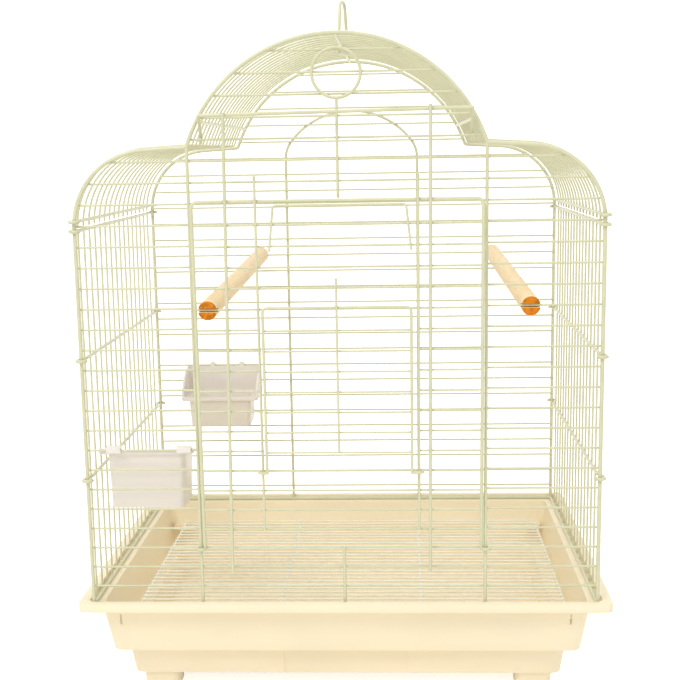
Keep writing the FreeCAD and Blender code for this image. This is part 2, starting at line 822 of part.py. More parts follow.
# Hanger: a bar across the top of the door whose ends run back to hooks on a panel wire.
AXIS_DEPTH = size(FRONT_WIRES)
AXIS_HEIGHT = size(wire_height(LOWEST_ARCH_WIRE))
hook = size("post_wire_radius + thin_wire_radius + curl_clearance")
hook_place = half_hanger + size("hanger_splay")
pieces = [
    placed_rod(
        "hanger_bar_rod",
        Placement(),
        hanger_point(-half_hanger),
        hanger_point(half_hanger),
        "post_wire_radius",
    )
]
for sign, name in ((-1, "left"), (1, "right")):
    start = hanger_point(sign * half_hanger)
    leg_run = Vector(sign * hook_place, AXIS_DEPTH, AXIS_HEIGHT) - start
    leg_length = leg_run.Length
    leg_way = leg_run.normalize()
    leg_turn = Rotation(leg_way, leg_way.cross(Vector(-1, 0, 0)), Vector(-1, 0, 0), "XYZ")
    pieces.append(ball(f"hanger_{name}_knuckle", Placement(), start, "post_wire_radius"))
    far = leg_length + hook
    pieces.append(
        bent_wire(
            f"hanger_{name}_hook",
            Placement(start, leg_turn),
            [
                (0, 0, 0),
                (leg_length - hook, hook, 2 * hook),
                (far, hook, hook),
                (far, -hook, hook),
                (leg_length - hook, -hook, 0),
            ],
            "post_wire_radius",
        )
    )
door_hanger_bar = fuse("door_hanger_bar", pieces)

handle_half = GUIDE - size("handle_inset")
handle_tip_half = handle_half + size("handle_flare")
handle_bar = size("handle_bar_rise")
handle_tip = size("handle_tip_rise")
lift_handle = bent_wire(
    "lift_handle",
    door_plane(HANDLE).multiply(Placement(Vector(size("handle_place"), 0, 0), Rotation())),
    [
        (-handle_tip_half, handle_tip, 0),
        (-handle_half, handle_bar, size("handle_bend")),
        (handle_half, handle_bar, size("handle_bend")),
        (handle_tip_half, handle_tip, 0),
    ],
    "handle_wire_radius",
)

# Feeder door: it slides on the two guide rails, held by a hook round each.
feeder_half = GUIDE - size("feeder_side_gap")
feeder_place = size("feeder_place")
feeder_top = size("feeder_top_rise")
feeder_foot = wire_rise(FEEDER_LAST_WIRE + 1)
feeder_corner = size("feeder_corner_bend")
hook_across = GUIDE + size("guide_wire_radius + running_gap + feeder_frame_radius")
pieces = [
    bent_wire(
        "feeder_frame",
        door_plane(FEEDER_FRAME),
        [
            (feeder_place - feeder_half, feeder_foot, 0),
            (feeder_place - feeder_half, feeder_top, feeder_corner),
            (feeder_place + feeder_half, feeder_top, feeder_corner),
            (feeder_place + feeder_half, feeder_foot, 0),
        ],
        "feeder_frame_radius",
    )
]
for sign, name in ((-1, "left"), (1, "right")):
    knuckle = feeder_place + sign * feeder_half
    pieces.append(
        ball(
            f"feeder_{name}_knuckle",
            DOOR,
            (knuckle, feeder_foot, FEEDER_FRAME),
            "feeder_frame_radius",
        )
    )
    plane = DOOR.multiply(
        Placement(
            Vector(0, feeder_foot, 0),
            Rotation(Vector(1, 0, 0), Vector(0, 0, 1), Vector(0, -1, 0), "XYZ"),
        )
    )
    pieces.append(
        bent_wire(
            f"feeder_{name}_hook",
            plane,
            [
                (knuckle, FEEDER_FRAME, 0),
                (sign * hook_across, FEEDER_FRAME, size("feeder_hook_bend")),
                (sign * hook_across, 0, 0),
            ],
            "feeder_frame_radius",
        )
    )
feeder_reach = feeder_half + size("handle_wire_radius")
for count in range(FEEDER_FIRST_WIRE, FEEDER_LAST_WIRE + 1):
    rise = wire_rise(count)
    pieces.append(
        door_rod(
            f"feeder_wire_{count}",
            (feeder_place - feeder_reach, rise, FEEDER_WIRES),
            (feeder_place + feeder_reach, rise, FEEDER_WIRES),
            "feeder_wire_radius",
        )
    )
feeder_door_panel = fuse("feeder_door_panel", pieces)

# The pull lies on the lowest feeder wire and on the top of the feeder frame.
pull_low = FEEDER_WIRES + size("feeder_wire_radius + handle_wire_radius + touch_gap")
pull_high = FEEDER_FRAME + size("feeder_frame_radius + handle_wire_radius + touch_gap")
pull_foot = size("pull_foot_rise")
pull_top = size("pull_top_rise")
pull_lean = (pull_high - pull_low) / (feeder_top - pull_foot)
feeder_door_pull = door_rod(
    "feeder_door_pull",
    (feeder_place, pull_foot, pull_low),
    (feeder_place, pull_top, pull_low + pull_lean * (pull_top - pull_foot)),
    "handle_wire_radius",
)


def perch(label, front_place, back_place, front_depth):
    """A dowel whose slotted ends sit on a front wire and on the wire above it at the back."""
    front = Vector(front_place, front_depth, size(wire_height(FRONT_PERCH_WIRE)))
    back = Vector(back_place, size(BACK_WIRES), size(wire_height(BACK_PERCH_WIRE)))
    way = (back - front).normalize()
    grip = size("perch_grip")
    start = front - way * grip
    dowel = doc.addObject("Part::Cylinder", label + "_dowel")
    dowel.Height = (back - front).Length + 2 * grip
    dowel.Placement = Placement(start, Rotation(Vector(0, 0, 1), way))
    bind(dowel, "Radius", "perch_radius")
    slots = []
    reach = size("thin_wire_radius + perch_seat_gap")
    for name, point, sign in (("front", front, -1), ("back", back, 1)):
        seat = point.y - sign * reach
        mouth = point.y + sign * size("perch_grip + overrun")
        slot = doc.addObject("Part::Box", f"{label}_{name}_slot")
        slot.Length = size("2 * (perch_radius + overrun)")
        slot.Width = abs(mouth - seat)
        bind(slot, "Height", "perch_slot_height")
        slot.Placement = Placement(
            Vector(
                point.x - slot.Length.Value / 2,
                min(mouth, seat),
                point.z - size("perch_slot_height / 2"),
            ),
            Rotation(),
        )
        slots.append(slot)
    return cut(label, dowel, fuse(label + "_slots", slots))


left_perch = -LEG + size("left_perch_inset")
right_perch = size(f"{SIDE} - right_perch_inset")
perch_left = perch(
    "perch_left",
    left_perch,
    left_perch + size("left_perch_skew"),
    door_depth(wire_rise(FRONT_PERCH_WIRE), DOOR_WIRES),
)
perch_right = perch(
    "perch_right",
    right_perch,
    right_perch + size("right_perch_skew"),
    size(FRONT_WIRES),
)


def cup(label, wall, count):
    """A cup that hangs by two hooks on a thin wire; wall is -1 at the front, 1 at the back."""
    place = -size(f"{SIDE} - {label}_inset")
    wire_depth = size(FRONT_WIRES) if wall < 0 else size(BACK_WIRES)
    wire = wire_height(count)
    inner = wire_depth - wall * size("thin_wire_radius + running_gap")
    depth = size("cup_depth")
    middle = inner - wall * depth / 2
    width = size("cup_width")
    body_width = size("cup_body_width")
    shell = size("cup_wall")
    corner = size("cup_corner")
    taper = size("cup_taper")
    top = f"({wire} - {label}_top_drop)"
    collar = f"({top} - cup_collar)"
    floor = f"({collar} - {label}_body_height)"
    inset = size("cup_body_inset")
    body = doc.addObject("PartDesign::Body", label + "_body")
    body_depth = depth - 2 * inset
    loft(
        body,
        label + "_bowl",
        (place, middle, body_width - taper, body_depth - taper, corner, floor),
        (place, middle, body_width, body_depth, corner, collar),
    )
    loft(
        body,
        label + "_collar",
        (place, middle, width, depth, corner, collar),
        (place, middle, width, depth, corner, top),
    )
    hollow = 2 * shell
    loft(
        body,
        label + "_hollow",
        (
            place,
            middle,
            body_width - taper - hollow,
            body_depth - taper - hollow,
            corner - shell,
            f"({floor} + cup_wall)",
        ),
        (place, middle, body_width - hollow, body_depth - hollow, corner - shell, top),
        hollow=True,
    )
    loft(
        body,
        label + "_tray",
        (place, middle, width - hollow, depth - hollow, corner - shell, f"({collar} + cup_wall)"),
        (place, middle, width - hollow, depth - hollow, corner - shell, top),
        hollow=True,
    )
    if wall < 0:
        # the rim falls away behind the wire it hangs on, like a scoop
        drop = size("seed_cup_scoop_drop")
        run = depth - size("seed_cup_level_depth")
        slope = math.atan2(drop, run)
        scoop = doc.addObject("Part::Box", label + "_scoop")
        scoop.Length = width + 2 * corner
        scoop.Width = math.hypot(run, drop) + corner
        scoop.Height = 2 * drop
        scoop.Placement = Placement(
            Vector(place - scoop.Length.Value / 2, inner + size("seed_cup_level_depth"), size(top)),
            Rotation(Vector(1, 0, 0), -math.degrees(slope)),
        )
        pieces = [cut(label + "_bowl_cut", body, scoop)]
    else:
        pieces = [body]
        rise = size("grit_cup_back")
        round_radius = (depth**2 + rise**2) / (2 * rise)
        for sign, name in ((-1, "left"), (1, "right")):
            edge = place + sign * width / 2
            near, far = sorted((edge, edge - sign * shell))
            # a cheek is the part of an end plate that lies inside a large upright disc
            plate = box(
                f"{label}_{name}_plate",
                (near, inner - depth + corner, f"{top} - cup_collar / 2"),
                (far, inner, f"{top} + {rise}"),
            )
            disc = rod(
                f"{label}_{name}_disc",
                (near - shell, inner, f"{top} + {rise} - {round_radius}"),
                "X",
                3 * shell,
                str(round_radius),
            )
            cheek = doc.addObject("Part::MultiCommon", f"{label}_{name}_cheek")
            cheek.Shapes = [plate, disc]
            pieces.append(cheek)
        pieces.append(
            box(
                f"{label}_back_wall",
                (place - width / 2, inner - shell, f"{top} - cup_collar / 2"),
                (place + width / 2, inner, f"{top} + {rise}"),
            )
        )
    for sign, name in ((-1, "left"), (1, "right")):
        middle_x = f"({place} + {label}_hook_shift + {sign} * {label}_hook_spacing / 2)"
        near_x = f"({middle_x} - {label}_hook_width / 2)"
        far_x = f"({middle_x} + {label}_hook_width / 2)"
        under = f"({wire} + thin_wire_radius + running_gap)"
        over = f"({under} + cup_hook_thickness)"
        outer = wire_depth + wall * size("thin_wire_radius + running_gap")
        lip_out = outer + wall * size("cup_hook_thickness")
        root = inner - wall * size("cup_hook_thickness")
        first, last = sorted((root, lip_out))
        pieces.append(box(f"{label}_{name}_hook", (near_x, first, under), (far_x, last, over)))
        first, last = sorted((outer, lip_out))
        drop = f"({under} - cup_hook_drop)"
        pieces.append(box(f"{label}_{name}_lip", (near_x, first, drop), (far_x, last, over)))
        first, last = sorted((root, inner))
        foot = f"({top} - cup_collar / 2)"
        pieces.append(box(f"{label}_{name}_root", (near_x, first, foot), (far_x, last, over)))
    return fuse(label, pieces)


seed_cup = cup("seed_cup", -1, SEED_CUP_WIRE)
grit_cup = cup("grit_cup", 1, GRIT_CUP_WIRE)

# Tray: a flat rim with a seat for the cage, over a stepped tub on four feet.
body = doc.addObject("PartDesign::Body", "tray_body")
rim = (size("rim_width"), size("rim_depth"))
inset = 2 * size("skirt_inset")
wall = 2 * size("tray_wall")
lip = (2 * size("lip_width"), 2 * size("lip_depth"))
corner = size("tub_corner")
inner_corner = corner - wall / 2
tub_top = (2 * size(TUB_TOP_X), 2 * size(TUB_TOP_Y))
tub_step = (2 * size(TUB_STEP_X), 2 * size(TUB_STEP_Y))
well_top = (2 * size(WELL_TOP_X), 2 * size(WELL_TOP_Y))
well_base = (2 * size(WELL_BASE_X), 2 * size(WELL_BASE_Y))
skirt_base = "(rim_base_height - skirt_height)"
step_floor = "(step_height + tray_wall)"
well_floor = "(well_base_height + tray_wall)"
SECTIONS = [
    ("tray_rim", rim, rim, size("rim_corner"), "rim_base_height", "rim_top_height"),
    (
        "tray_skirt",
        (rim[0] - inset, rim[1] - inset),
        (rim[0] - inset, rim[1] - inset),
        size("rim_corner"),
        skirt_base,
        "rim_base_height",
    ),
    ("tray_tub", tub_step, tub_top, corner, "step_height", skirt_base),
    ("tray_well", well_base, well_top, corner, "well_base_height", "step_height"),
]
for name, low, high, bend, low_height, high_height in SECTIONS:
    loft(body, name, (0, 0, *low, bend, low_height), (0, 0, *high, bend, high_height))
seat = (rim[0] - lip[0], rim[1] - lip[1])
HOLLOWS = [
    ("tray_seat", seat, seat, size("rim_corner"), "seat_height", "rim_top_height"),
    ("tray_throat", tub_top, tub_top, inner_corner, skirt_base, "seat_height"),
    ("tray_upper_hollow", tub_step, tub_top, inner_corner, step_floor, skirt_base),
    ("tray_lower_hollow", well_base, well_top, inner_corner, well_floor, step_floor),
]
for name, low, high, bend, low_height, high_height in HOLLOWS:
    less = 0 if name == "tray_seat" else wall
    loft(
        body,
        name,
        (0, 0, low[0] - less, low[1] - less, bend, low_height),
        (0, 0, high[0] - less, high[1] - less, bend, high_height),
        hollow=True,
    )
pieces = [body]
foot_y = (well_base[1] - size("foot_depth")) / 2 - size("foot_inset")
foot_x = size(f"{WELL_BASE_X} - foot_side_inset - foot_width / 2")
for across in (-1, 1):
    for along in (-1, 1):
        name = ("left" if across < 0 else "right") + ("_front" if along < 0 else "_back")
        foot = doc.addObject("PartDesign::Body", f"tray_{name}_foot")
        spread = (size("foot_width"), size("foot_depth"))
        taper = size("cup_taper / 2")
        bend = size("rim_corner")
        loft(
            foot,
            f"tray_{name}_foot_block",
            (across * foot_x, along * foot_y, spread[0] - taper, spread[1] - taper, bend, "0"),
            (
                across * foot_x,
                along * foot_y,
                *spread,
                bend,
                "(well_base_height + tray_wall / 2)",
            ),
        )
        pieces.append(foot)
        # a ledge inside the wall carries the grate
        nub = size(NUB_X)
        inward = across * (nub - size("nub_inward_width"))
        outward = across * (nub + size("nub_outward_width"))
        left, right = sorted((inward, outward))
        root = size(f"({TUB_TOP_Y} + {TUB_STEP_Y}) / 2 - tray_wall / 2")
        near, far = sorted((along * root, along * size(NUB_TIP_Y)))
        pieces.append(
            box(
                f"tray_{name}_ledge",
                (left, near, "nub_top_height - nub_thickness"),
                (right, far, "nub_top_height"),
            )
        )
tray_solid = fuse("tray_solid", pieces)
openings = []
for sign, name in ((-1, "left"), (1, "right")):
    half_slot = size("slot_width / 2")
    nub = sign * size(NUB_X)
    openings.append(
        box(
            f"tray_{name}_slot",
            (nub - half_slot, f"-{TUB_TOP_Y} - overrun", "nub_top_height + slot_rise"),
            (
                nub + half_slot,
                f"-{NUB_TIP_Y} - overrun",
                "nub_top_height + slot_rise + slot_height",
            ),
        )
    )
# a shallow recess in the front of the well, parallel to the sloping wall
slope = math.atan2(
    (well_top[1] - well_base[1]) / 2, size("step_height - well_base_height")
)
recess = doc.addObject("Part::Box", "tray_grip_recess")
bind(recess, "Length", "2 * grip_half_width")
bind(recess, "Width", "overrun")
bind(recess, "Height", "grip_height + overrun")
recess_y = -well_base[1] / 2 + size("grip_sink") - size("overrun")
recess.Placement = Placement(
    Vector(-size("grip_half_width"), recess_y, size("well_base_height")),
    Rotation(Vector(1, 0, 0), math.degrees(slope)),
)
recess.Placement.move(recess.Placement.Rotation.multVec(Vector(0, 0, -size("overrun"))))
openings.append(recess)
tray = cut("tray", tray_solid, fuse("tray_openings", openings))

# Floor grate: thin wires across on four bars, standing on the ledges.
bar_height = "(nub_top_height + touch_gap + grate_bar_radius)"
thin_height = f"({bar_height} + grate_bar_radius + grate_wire_radius - weld_bite)"
pieces = []
bars = (-1, -1 / 3, 1 / 3, 1)
for number, share in enumerate(bars):
    pieces.append(
        rod(
            f"grate_bar_{number}",
            (f"grate_shift + {share} * {GRATE_X}", f"-{GRATE_Y}", bar_height),
            "Y",
            f"2 * {GRATE_Y}",
            "grate_bar_radius",
        )
    )
thin_count = round(size(f"2 * ({GRATE_Y} - grate_bar_radius) / grate_pitch"))
for number in range(thin_count + 1):
    along = f"((2 * {number} / {thin_count} - 1) * ({GRATE_Y} - grate_bar_radius))"
    reach = f"({GRATE_X} + grate_bar_radius)"
    pieces.append(
        rod(
            f"grate_wire_{number}",
            (f"grate_shift - {reach}", along, thin_height),
            "X",
            f"2 * {reach}",
            "grate_wire_radius",
        )
    )
floor_grate = fuse("floor_grate", pieces)

doc.recompute()

PARTS = {
    "tray": tray,
    "floor_grate": floor_grate,
    "front_panel": front_panel,
    "back_panel": back_panel,
    "back_stiffener": back_stiffener,
    "left_side_panel": SIDE_PANELS["left"],
    "right_side_panel": SIDE_PANELS["right"],
    "roof_panel": roof_panel,
    "ridge_bar": ridge_bar,
    "hanging_loop": hanging_loop,
    "arch_ring": arch_ring,
    "front_door_panel": front_door_panel,
    "door_rail_left": RAILS["left"],
    "door_rail_right": RAILS["right"],
    "guide_rail_left": GUIDE_RAILS["left"],
    "guide_rail_right": GUIDE_RAILS["right"],
    "door_hanger_bar": door_hanger_bar,
    "lift_handle": lift_handle,
    "feeder_door_panel": feeder_door_panel,
    "feeder_door_pull": feeder_door_pull,
    "perch_left": perch_left,
    "perch_right": perch_right,
    "seed_cup": seed_cup,
    "grit_cup": grit_cup,
}

for thing in doc.Objects:
    if "Invalid" in thing.State or "Error" in thing.State:
        raise RuntimeError(f"{thing.Label} did not build: {thing.State}")
for name, piece in PARTS.items():
    shape = piece.Shape
    if shape.isNull() or not shape.isValid() or len(shape.Solids) != 1:
        raise RuntimeError(f"{name} is not one sound solid: {len(shape.Solids)}")
    piece.Label = name
front_end = min(piece.Shape.BoundBox.YMin for piece in PARTS.values())
back_end = max(piece.Shape.BoundBox.YMax for piece in PARTS.values())
to_middle = Vector(0, -(front_end + back_end) / 2, 0)
print("moved along y by", round(to_middle.y, 3))
for name, piece in PARTS.items():
    shape = piece.Shape.translated(to_middle)
    shape.exportStep(f"parts/{name}.step")
    bounds = shape.BoundBox
    print(name, round(shape.Volume), [round(value, 1) for value in (
        bounds.XMin, bounds.XMax, bounds.YMin, bounds.YMax, bounds.ZMin, bounds.ZMax)])
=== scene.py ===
"""Looks for a wire bird cage on a moulded tray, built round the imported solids.

Lengths are metres in the solids' own frame: +Z up, -Y the front, the floor at zero.
"""

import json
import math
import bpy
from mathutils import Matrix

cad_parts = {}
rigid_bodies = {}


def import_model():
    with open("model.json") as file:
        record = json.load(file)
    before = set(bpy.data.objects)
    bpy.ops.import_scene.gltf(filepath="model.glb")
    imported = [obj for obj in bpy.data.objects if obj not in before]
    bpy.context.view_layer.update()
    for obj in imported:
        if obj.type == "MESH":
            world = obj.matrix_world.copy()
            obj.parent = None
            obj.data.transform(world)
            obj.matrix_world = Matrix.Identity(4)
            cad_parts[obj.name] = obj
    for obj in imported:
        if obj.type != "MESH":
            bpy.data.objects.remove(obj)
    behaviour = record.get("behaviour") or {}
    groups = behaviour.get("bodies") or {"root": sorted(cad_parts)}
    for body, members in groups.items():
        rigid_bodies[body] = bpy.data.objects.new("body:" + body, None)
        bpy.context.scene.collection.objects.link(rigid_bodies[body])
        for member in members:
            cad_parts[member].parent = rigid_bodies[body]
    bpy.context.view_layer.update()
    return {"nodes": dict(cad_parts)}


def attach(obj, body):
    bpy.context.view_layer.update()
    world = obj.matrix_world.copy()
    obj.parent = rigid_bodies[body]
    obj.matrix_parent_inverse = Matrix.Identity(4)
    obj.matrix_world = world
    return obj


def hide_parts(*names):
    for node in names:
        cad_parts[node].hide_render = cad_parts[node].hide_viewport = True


bl_info = {
    "name": "Bird Cage",
    "version": (1, 0, 0),
    "blender": (4, 5, 0),
    "location": "3D View > Sidebar > Bird Cage",
    "description": "Coats the wires, moulds the tray and cups and turns the perches",
    "category": "Object",
}

import bpy
from mathutils import Matrix, Vector

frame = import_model()

MM = 0.001

# The nodes of each material. A cup rides on the body of its own name.
CAGE_WIRES = (
    "front_panel",
    "back_panel",
    "back_stiffener",
    "left_side_panel",
    "right_side_panel",
    "roof_panel",
    "ridge_bar",
    "hanging_loop",
    "arch_ring",
    "front_door_panel",
    "door_rail_left",
    "door_rail_right",
    "guide_rail_left",
    "guide_rail_right",
    "door_hanger_bar",
    "lift_handle",
    "feeder_door_panel",
    "feeder_door_pull",
)
GRATE_WIRES = ("floor_grate",)
CUPS = ("seed_cup", "grit_cup")
PERCHES = ("perch_left", "perch_right")

# How a solid's facets are merged and its edges rounded.
MERGE_DISTANCE = 0.01 * MM
FLAT_ANGLE = math.radians(0.5)
SHARP_ANGLE = math.radians(35)
EDGE_STEPS = 2

# Marks to the metre of each pattern, and how deep the fine ones are.
COAT_MOTTLE = 60
COAT_DUST = 420
COAT_PEEL = 1400
COAT_PEEL_DEPTH = 0.05 * MM
PLASTIC_FLOW = 9
PLASTIC_FLOW_STRETCH = (1, 1, 2.5)
PLASTIC_SCUFF = 95
PLASTIC_SCUFF_STRETCH = (0.25, 1, 2)
TRAY_GRAIN = 1100
TRAY_GRAIN_DEPTH = 0.06 * MM
CUP_GRAIN = 1500
CUP_GRAIN_DEPTH = 0.04 * MM
WOOD_GRAIN = (700, 22, 700)
WOOD_BANDS = (120, 5, 120)
WOOD_RINGS = (330, 330, 330)
WOOD_GRAIN_DEPTH = 0.12 * MM

# The backdrop, and each lamp's name, place, width and the setting that holds its power.
FLOOR_SIZE = (9, 6, 1)
WALL_HEIGHT = 5
SWEEP_RADIUS = 1.4
SWEEP_STEPS = 24
LAMP_AIM = Vector((0, 0, 0.3))
LAMPS = (
    ("key_lamp", (-1.1, -1.9, 2.3), 1.3, "key_power"),
    ("fill_lamp", (1.5, -1.6, 1.5), 1.6, "fill_power"),
    ("top_lamp", (0.2, 0.1, 2.4), 1.4, "top_power"),
)


class Signal:
    """A shader socket that can be used in sums and products."""

    def __init__(self, sheet, socket):
        self.sheet = sheet
        self.socket = socket

    def maths(self, operation, first, second):
        return self.sheet.node("ShaderNodeMath", {"operation": operation}, [first, second])

    def __add__(self, other):
        return self.maths("ADD", self, other)

    def __radd__(self, other):
        return self.maths("ADD", other, self)

    def __mul__(self, other):
        return self.maths("MULTIPLY", self, other)

    def __rmul__(self, other):
        return self.maths("MULTIPLY", other, self)

    def above(self, low, high):
        """0 below low, 1 above high and smooth in between."""
        settings = {"interpolation_type": "SMOOTHSTEP"}
        return self.sheet.node("ShaderNodeMapRange", settings, [self, low, high])


class Sheet:
    """A node tree whose nodes are written as expressions."""

    # The Mix node's sockets for colours, which share their names with those for numbers.
    FIRST_COLOUR, SECOND_COLOUR, MIXED_COLOUR = 6, 7, 2

    def __init__(self, tree):
        self.nodes = tree.nodes
        self.links = tree.links

    def node(self, kind, settings=None, values=(), output=0):
        """Adds a node. Values are given in order, or by socket name in a dictionary."""
        node = self.nodes.new(kind)
        for name, value in (settings or {}).items():
            setattr(node, name, value)
        pairs = values.items() if isinstance(values, dict) else enumerate(values)
        for key, value in pairs:
            self.put(node.inputs[key], value)
        return Signal(self, node.outputs[output])

    def put(self, socket, value):
        if isinstance(value, Signal):
            self.links.new(value.socket, socket)
        else:
            socket.default_value = value

    def mix(self, share, first, second):
        """A blend of two colours."""
        values = {0: share, self.FIRST_COLOUR: first, self.SECOND_COLOUR: second}
        return self.node("ShaderNodeMix", {"data_type": "RGBA"}, values, self.MIXED_COLOUR)

    def seen(self):
        """1 where the camera, a reflection or a clear surface looks straight at the thing."""
        paths = self.nodes.new("ShaderNodeLightPath")
        rays = [
            Signal(self, paths.outputs[name])
            for name in ("Is Camera Ray", "Is Glossy Ray", "Is Transmission Ray")
        ]
        return rays[0] + rays[1] + rays[2]


class Finish(Sheet):
    """A material of its own."""

    def __init__(self, name):
        self.material = bpy.data.materials.new(name)
        self.material.use_nodes = True
        super().__init__(self.material.node_tree)
        self.shader = self.nodes["Principled BSDF"]
        self.place = self.node("ShaderNodeTexCoord", output="Object")

    def noise(self, scale, detail=2.0, place=None, roughness=0.5):
        values = {
            "Vector": place or self.place,
            "Scale": scale,
            "Detail": detail,
            "Roughness": roughness,
        }
        return self.node("ShaderNodeTexNoise", {}, values)

    def parts_of(self, vector):
        """The three numbers of a vector."""
        node = self.nodes.new("ShaderNodeSeparateXYZ")
        self.put(node.inputs[0], vector)
        return [Signal(self, socket) for socket in node.outputs]

    def stretch(self, scale):
        """The object's own place, stretched for a pattern that runs one way."""
        values = {"Vector": self.place, "Scale": scale}
        return self.node("ShaderNodeMapping", {}, values)

    def bump(self, height, depth, strength=0.5):
        values = {"Strength": strength, "Distance": depth, "Height": height}
        self.put(self.shader.inputs["Normal"], self.node("ShaderNodeBump", {}, values))

    def wear(self, **values):
        """Sets sockets of the surface shader; an underscore stands for a space."""
        for name, value in values.items():
            self.put(self.shader.inputs[name.replace("_", " ")], value)


def tint(colour, factor=1.0):
    """A colour made lighter or darker, with its alpha."""
    return tuple(min(channel * factor, 1.0) for channel in colour[:3]) + (1.0,)


def dress(node_names, material):
    """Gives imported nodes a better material."""
    for name in node_names:
        node = frame["nodes"][name]
        for slot in node.material_slots:
            slot.material = material


def deselect_all():
    bpy.ops.object.select_all(action="DESELECT")


def cast_from(node_name, name, body, material, edge):
    """A copy of a solid, its facets merged and its edges rounded, in the solid's place."""
    deselect_all()
    node = frame["nodes"][node_name]
    node.hide_set(False)
    bpy.context.view_layer.objects.active = node
    node.select_set(True)
    bpy.ops.object.duplicate(linked=False)
    piece = bpy.context.view_layer.objects.active
    piece.name = name
    bpy.ops.object.parent_clear(type="CLEAR_KEEP_TRANSFORM")
    bpy.ops.object.mode_set(mode="EDIT")
    bpy.ops.mesh.select_all(action="SELECT")
    bpy.ops.mesh.remove_doubles(threshold=MERGE_DISTANCE)
    bpy.ops.mesh.customdata_custom_splitnormals_clear()
    bpy.ops.mesh.dissolve_limited(angle_limit=FLAT_ANGLE)
    bpy.ops.object.mode_set(mode="OBJECT")
    rounding = piece.modifiers.new("edges", "BEVEL")
    rounding.width = edge
    rounding.segments = EDGE_STEPS
    rounding.limit_method = "ANGLE"
    rounding.angle_limit = SHARP_ANGLE
    bpy.ops.object.modifier_apply(modifier="edges")
    bpy.ops.object.shade_smooth_by_angle(angle=SHARP_ANGLE)
    piece.data.materials.clear()
    piece.data.materials.append(material)
    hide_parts(node_name)
    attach(piece, body)
    return piece


class CageFinishes(bpy.types.PropertyGroup):
    """Colours and edges of the pieces"""

    wire_colour: bpy.props.FloatVectorProperty(
        name="Wire coating", description="Colour of the coated wires", subtype="COLOR",
        size=3, min=0, max=1, default=(0.64, 0.63, 0.42))
    # Painted light: the grate's colour is kept lighter than the wires' coating, standing for
    # the light that falls on it from above.
    grate_painted_light_colour: bpy.props.FloatVectorProperty(
        name="Grate coating", description="Colour of the floor grate's wires", subtype="COLOR",
        size=3, min=0, max=1, default=(0.88, 0.87, 0.76))
    tray_colour: bpy.props.FloatVectorProperty(
        name="Tray plastic", description="Colour of the moulded tray", subtype="COLOR",
        size=3, min=0, max=1, default=(0.97, 0.85, 0.62))
    cup_colour: bpy.props.FloatVectorProperty(
        name="Cup plastic", description="Colour of the moulded cups", subtype="COLOR",
        size=3, min=0, max=1, default=(0.86, 0.80, 0.73))
    wood_colour: bpy.props.FloatVectorProperty(
        name="Perch wood", description="Colour of the dowels' sides", subtype="COLOR",
        size=3, min=0, max=1, default=(0.95, 0.74, 0.45))
    end_grain_colour: bpy.props.FloatVectorProperty(
        name="End grain", description="Colour of the dowels' cut ends", subtype="COLOR",
        size=3, min=0, max=1, default=(0.62, 0.19, 0.002))
    tray_edge: bpy.props.FloatProperty(
        name="Tray edge rounding", description="Radius of the tray's moulded edges",
        subtype="DISTANCE", unit="LENGTH", min=0, default=0.8 * MM)
    cup_edge: bpy.props.FloatProperty(
        name="Cup edge rounding", description="Radius of the cups' moulded edges",
        subtype="DISTANCE", unit="LENGTH", min=0, default=0.45 * MM)
    perch_edge: bpy.props.FloatProperty(
        name="Perch edge rounding", description="How far the dowels' ends are broken",
        subtype="DISTANCE", unit="LENGTH", min=0, default=0.35 * MM)


class CageStage(bpy.types.PropertyGroup):
    """Camera, backdrop and lamps"""

    camera_place: bpy.props.FloatVectorProperty(
        name="Camera place", description="Where the camera stands", subtype="XYZ",
        size=3, default=(0.0493, -1.1931, 0.4714))
    camera_pitch: bpy.props.FloatProperty(
        name="Pitch", description="How far the camera looks down", subtype="ANGLE",
        default=0.18123)
    camera_yaw: bpy.props.FloatProperty(
        name="Yaw", description="How far the camera looks to the left", subtype="ANGLE",
        default=0.04774)
    camera_roll: bpy.props.FloatProperty(
        name="Roll", description="How far the camera is tilted", subtype="ANGLE",
        default=-0.01667)
    focal_length: bpy.props.FloatProperty(
        name="Focal length", description="Focal length on a 36 mm wide sensor, in millimetres",
        min=1, default=66.8)
    frame_shift: bpy.props.FloatProperty(
        name="Frame shift", description="Upward shift of the frame, as a share of its width",
        default=0.0634)
    backdrop_colour: bpy.props.FloatVectorProperty(
        name="Backdrop", description="Colour of the floor and backdrop", subtype="COLOR",
        size=3, min=0, max=1, default=(0.95, 0.94, 0.90))
    backdrop_glow: bpy.props.FloatProperty(
        name="Backdrop glow", description="How much of its own light the backdrop shows",
        min=0, default=0.75)
    key_power: bpy.props.FloatProperty(
        name="Key light", description="Power of the large lamp, in watts", min=0, default=35)
    fill_power: bpy.props.FloatProperty(
        name="Fill light", description="Power of the smaller lamp on the right, in watts",
        min=0, default=6.5)
    top_power: bpy.props.FloatProperty(
        name="Top light", description="Power of the lamp overhead, in watts", min=0, default=9)
    sky_strength: bpy.props.FloatProperty(
        name="Sky strength", description="Strength of the even light all round", min=0,
        default=0.6)


class BIRDCAGE_OT_camera(bpy.types.Operator):
    """Adds the camera that looks slightly down on the cage's front"""

    bl_idname = "birdcage.camera"
    bl_label = "Add Camera"

    def execute(self, context):
        stage = context.scene.cage_stage
        bpy.ops.object.camera_add(location=stage.camera_place)
        camera = context.object
        camera.name = "front_camera"
        upright = math.pi / 2 - stage.camera_pitch
        turn = Matrix.Rotation(stage.camera_yaw, 3, "Z") @ Matrix.Rotation(upright, 3, "X")
        turn = turn @ Matrix.Rotation(stage.camera_roll, 3, "Z")
        camera.rotation_euler = turn.to_euler()
        camera.data.sensor_width = 36
        camera.data.lens = stage.focal_length
        camera.data.shift_y = stage.frame_shift
        context.scene.camera = camera
        return {"FINISHED"}


